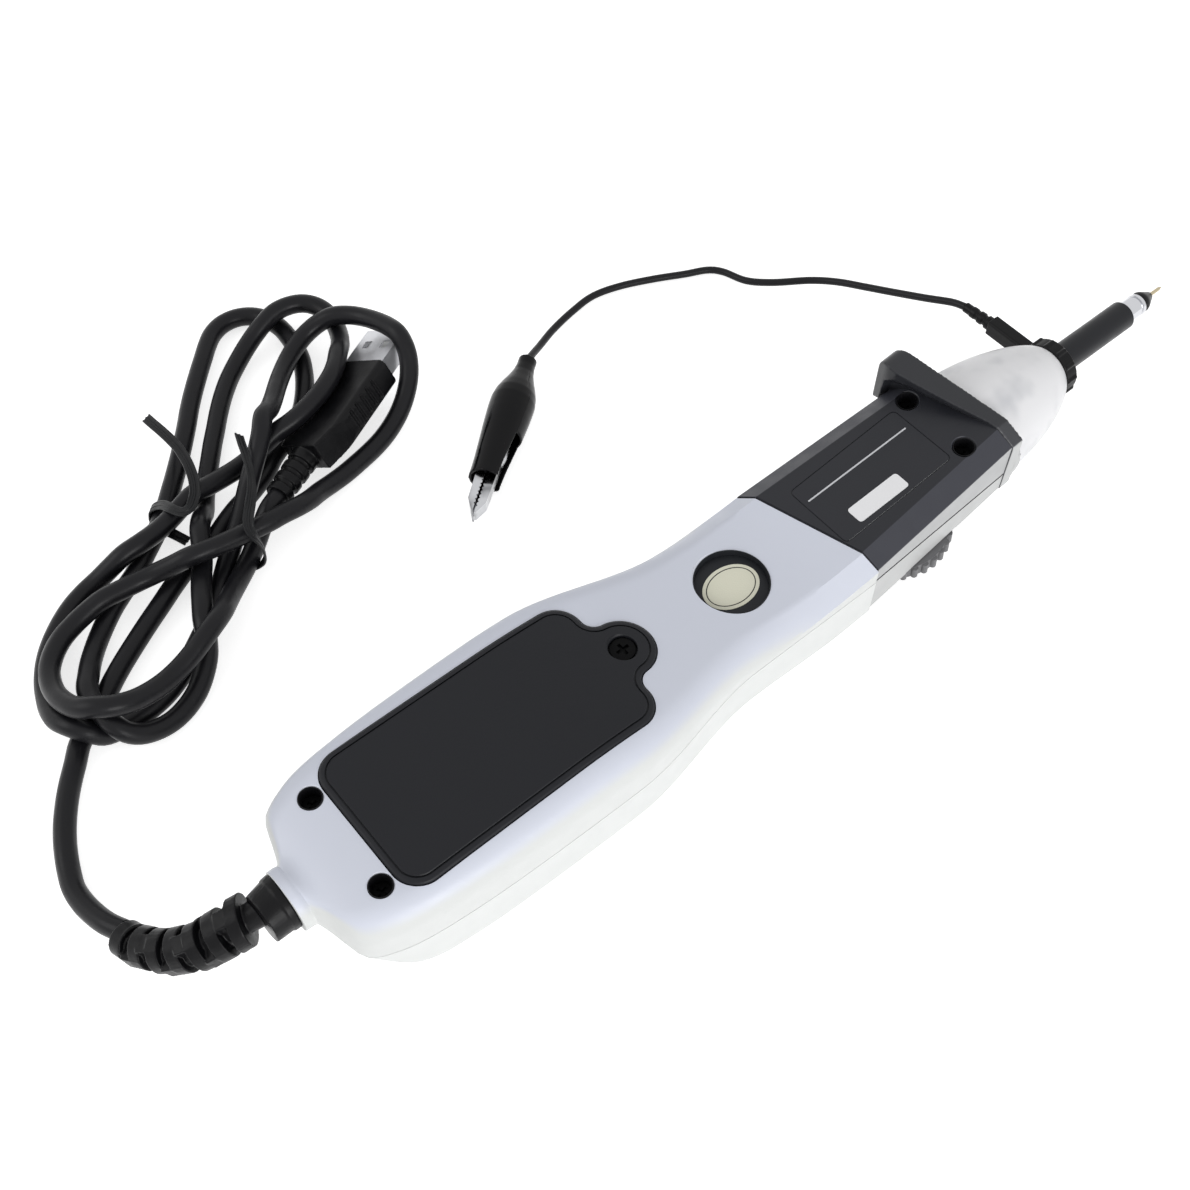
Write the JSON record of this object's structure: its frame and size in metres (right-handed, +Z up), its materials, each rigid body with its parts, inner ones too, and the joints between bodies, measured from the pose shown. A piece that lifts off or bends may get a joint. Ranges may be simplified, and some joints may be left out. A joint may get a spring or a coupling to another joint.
{
  "type": "pen oscilloscope",
  "caption": "Handheld probe instrument with a waisted housing, tilted dark head, clear lamp nose, needle probe, thumb wheel, USB lead and clip-on ground lead.",
  "frame": {"origin": "on the flat front face of the housing on which the instrument lies, on its centre line, 60 mm from the cord collar", "axes": "+X along the housing towards the probe's needle, +Y to the left seen from the cord end, +Z up out of the surface on which it lies, out of the housing's back"},
  "size_m": [0.2763, 0.1705, 0.034],
  "materials": {
    "white_shell": "satin",
    "white_front": "satin",
    "dark_shell": "semi-gloss",
    "cover_black": "fine grain",
    "screw_black": "blackened",
    "label_black": "satin",
    "nose_frosted": "frosted",
    "board_green": "satin",
    "can_metal": "satin",
    "part_black": "satin",
    "stem_brass": "plated",
    "sleeve_black": "satin",
    "bright_metal": "polished",
    "wheel_rubber": "matte",
    "key_grey": "satin",
    "cord_pvc": "satin",
    "plug_white": "satin",
    "boot_vinyl": "glossy",
    "clip_steel": "plated"
  },
  "bodies": {
    "root": {"rear_shell": "white_shell", "front_shell": "white_front", "head_rear_shell": "dark_shell", "head_front_shell": "dark_shell", "finger_guard": "dark_shell", "back_cover": "cover_black", "cover_screw": "screw_black", "shell_screws": "screw_black", "recess_disc": "label_black", "label_plate": "label_black", "nose_lens": "nose_frosted", "lamp_board": "board_green", "probe_stem": "stem_brass", "probe_sleeve": "sleeve_black", "probe_barrel": "bright_metal", "probe_cone": "sleeve_black", "probe_needle": "stem_brass", "main_board": "board_green", "shield_can": "can_metal", "head_board": "board_green", "wheel_encoder": "part_black", "key_switch": "part_black", "strain_relief": "cord_pvc", "usb_cord": "cord_pvc", "usb_hank": "cord_pvc", "usb_plug_body": "part_black", "usb_plug_shell": "bright_metal", "usb_plug_tongue": "plug_white", "ground_ring": "part_black", "ground_relief": "cord_pvc", "ground_lead": "cord_pvc", "clip_boot": "boot_vinyl", "clip_jaw_fixed": "clip_steel", "clip_pin": "clip_steel", "clip_spring": "clip_steel"},
    "wheel": {"scroll_wheel": "wheel_rubber"},
    "key": {"front_key": "key_grey"},
    "clip_jaw": {"clip_jaw_moving": "clip_steel"}
  },
  "joints": [
    {"name": "wheel_turn", "type": "hinge", "parent": "root", "child": "wheel", "pos_m": [0.09242, -0.00444, 0.00656], "axis": [-0.1219, 0, 0.9925], "continuous": true},
    {"name": "key_press", "type": "slide", "parent": "root", "child": "key", "axis": [0, 0, 1], "range_m": [0, 0.0006], "stiffness_N_per_m": 600},
    {"name": "jaw_open", "type": "hinge", "parent": "root", "child": "clip_jaw", "pos_m": [0.04044, 0.06875, 0.0053], "axis": [0, 0, 1], "range_deg": [0, 16], "stiffness_Nm_per_rad": 0.08, "springref_deg": -17.19}
  ]
}
